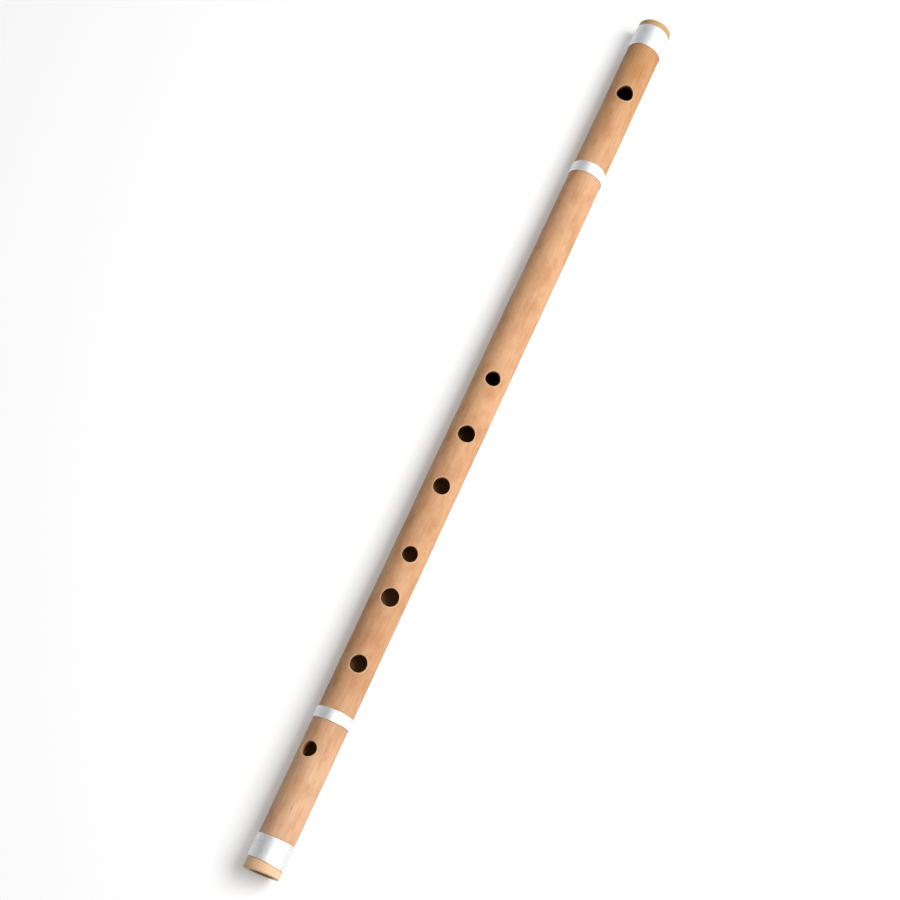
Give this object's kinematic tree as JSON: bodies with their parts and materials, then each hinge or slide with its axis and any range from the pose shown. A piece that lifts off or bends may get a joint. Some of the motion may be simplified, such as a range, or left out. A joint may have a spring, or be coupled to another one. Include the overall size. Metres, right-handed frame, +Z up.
{
  "type": "bansuri",
  "caption": "Side-blown bamboo flute with a mouth hole, finger holes in line, a vent hole round the side, silver tape bands and a cork stopper that slides in its bore.",
  "frame": {"origin": "centre of the bounding box's bottom face, on the surface that the flute lies on", "axes": "+Y along the flute towards its head, +Z up out of the finger holes, +X to the right with the head away from the viewer"},
  "size_m": [0.0194, 0.5, 0.0193],
  "materials": {
    "bamboo": "satin, fine lengthwise grain",
    "silver_tape": "brushed foil",
    "cork": "matte, pored"
  },
  "bodies": {
    "flute": {"bamboo_tube": "bamboo", "head_band": "silver_tape", "upper_band": "silver_tape", "lower_band": "silver_tape", "foot_band": "silver_tape"},
    "plug": {"stopper": "cork"}
  },
  "joints": [
    {"name": "stopper_slide", "type": "slide", "parent": "flute", "child": "plug", "axis": [0, 1, 0], "range_m": [-0.005, 0.019]}
  ]
}
